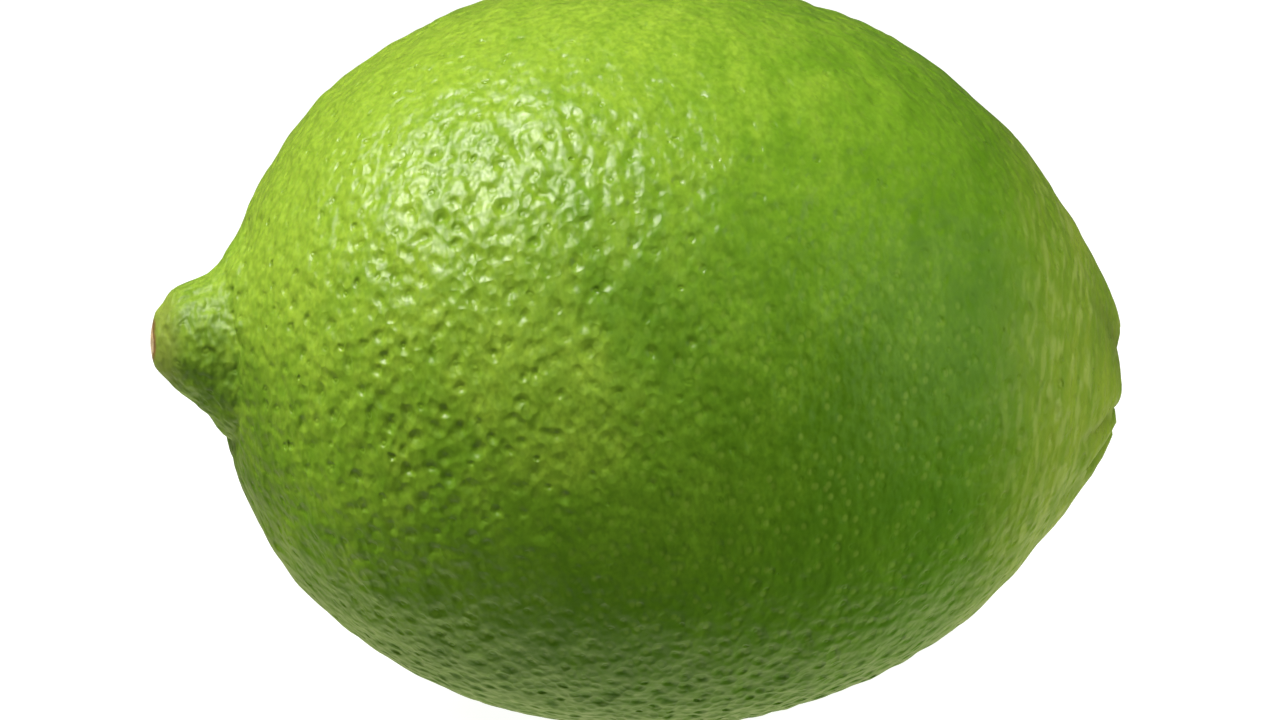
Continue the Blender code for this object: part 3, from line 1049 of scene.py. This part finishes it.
def calyx_material(centre):
    """Dry and brown, with painted shade of a groove round the pale end of the broken stalk. Distances are in
    mm.
    """
    shader = Surface("calyx")
    place = shader.place()
    turned = shader.vector("NORMALIZE", shader.vector("SUBTRACT", place, tuple(centre)))
    to_stem = shader.closeness(turned, STEM_AXIS)
    out = shader.times(shader.math("ARCCOSINE", to_stem), BODY_HALF_LENGTH / MM)
    blotch = shader.noise(place, CALYX_BLOTCHES, 4.0, 0.65)
    brown = shader.ramp(blotch, CALYX_BROWNS)
    stalk = shader.eased(shader.add(out, shader.times(blotch, 0.5)), 1.25, 0.85)
    brown = shader.mix(stalk, brown, STALK_CREAM)
    # Painted shade of a groove round the stalk's pale end.
    from_groove = shader.math("ABSOLUTE", shader.math("SUBTRACT", out, 1.50))
    brown = shader.mix(shader.eased(from_groove, 0.32, 0.05, 0.0, 0.80), brown, STALK_GROOVE_SHADE)
    shader.textured(Base_Color=brown)
    shader.bump(shader.noise(place, CALYX_GRAINS, 4.0, 0.6), 0.30)
    shader.uniform(Roughness=0.8, Metallic=0.0)
    return shader.material


def floor_material():
    shader = Surface("floor")
    tone = shader.noise(shader.place(), 6.0, 2.0)
    shader.textured(Base_Color=shader.ramp(tone, FLOOR_GREYS))
    shader.uniform(Roughness=0.9, Metallic=0.0, Emission_Strength=0.96)
    shader.uniform(Emission_Color=(1.0, 1.0, 1.0, 1.0))
    return shader.material


# The stage, the lights and the camera

def camera_axes():
    """The camera's right, up and back."""
    azimuth, elevation = math.radians(CAMERA_AZIMUTH), math.radians(CAMERA_ELEVATION)
    level = math.cos(elevation)
    back = Vector((math.sin(azimuth) * level, -math.cos(azimuth) * level, math.sin(elevation)))
    right = Vector((math.cos(azimuth), math.sin(azimuth), 0.0))
    return right, back.cross(right), back


def from_camera_axes(numbers):
    """The unit vector of three numbers along the camera's right, up and back."""
    right, up, back = camera_axes()
    return (numbers[0] * right + numbers[1] * up + numbers[2] * back).normalized()


def facing(direction):
    """The rotation of a camera or a light that looks along the direction."""
    return direction.to_track_quat("-Z", "Y").to_euler()


def add_camera(centre):
    right, up, back = camera_axes()
    target = Vector(centre) - CENTRE_RIGHT_OF_MIDDLE * right - CENTRE_ABOVE_MIDDLE * up
    data = bpy.data.cameras.new("camera")
    data.lens = CAMERA_LENS
    data.sensor_width = SENSOR_WIDTH
    data.clip_start = NEAREST_SEEN
    camera = add_to_scene("camera", data)
    camera.location = target + back * (CAMERA_LENS / SENSOR_WIDTH * VIEW_WIDTH)
    camera.rotation_euler = facing(-back)
    bpy.context.scene.camera = camera


def add_light(centre, name, towards, distance, size, radiance, colour, in_gloss):
    """A square light that faces the fruit."""
    direction = from_camera_axes(towards)
    data = bpy.data.lights.new(name, "AREA")
    data.shape = "SQUARE"
    data.size = size
    data.energy = radiance * math.pi * size * size
    data.color = colour
    light = add_to_scene(name, data)
    light.location = Vector(centre) + direction * distance
    light.rotation_euler = facing(-direction)
    light.visible_glossy = in_gloss


def add_floor():
    mesh = bmesh.new()
    bmesh.ops.create_grid(mesh, x_segments=1, y_segments=1, size=FLOOR_HALF_WIDTH)
    floor = add_bmesh("floor", mesh, floor_material())
    # The fruit's front and underside are dark in the photograph, so the floor throws no light back.
    floor.visible_diffuse = False
    floor.visible_glossy = False
    floor.visible_shadow = False


def add_world():
    """A studio that is bright behind the fruit and dim in front, which gives the fruit its pale rim."""
    world = bpy.data.worlds.new("studio")
    bpy.context.scene.world = world
    world.use_nodes = True
    nodes = Nodes(world.node_tree)
    looking = nodes.node("ShaderNodeTexCoord").outputs["Generated"]
    behind = nodes.closeness(looking, from_camera_axes(STUDIO_BRIGHT_TOWARDS))
    tone = nodes.mix(nodes.eased(behind, STUDIO_BRIGHT_FROM, 1.0), STUDIO_DIM, STUDIO_BRIGHT)
    nodes.link(tone, world.node_tree.nodes["Background"].inputs["Color"])


def main():
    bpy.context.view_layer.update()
    centre = fruit_centre(spread_directions(GLAND_COUNT))
    add_fruit(peel_material(centre), centre)
    add_calyx(calyx_material(centre), centre)
    add_floor()
    add_world()
    add_camera(centre)
    for light in LIGHTS:
        add_light(centre, *light)
    bpy.context.scene.view_settings.view_transform = "Standard"


main()
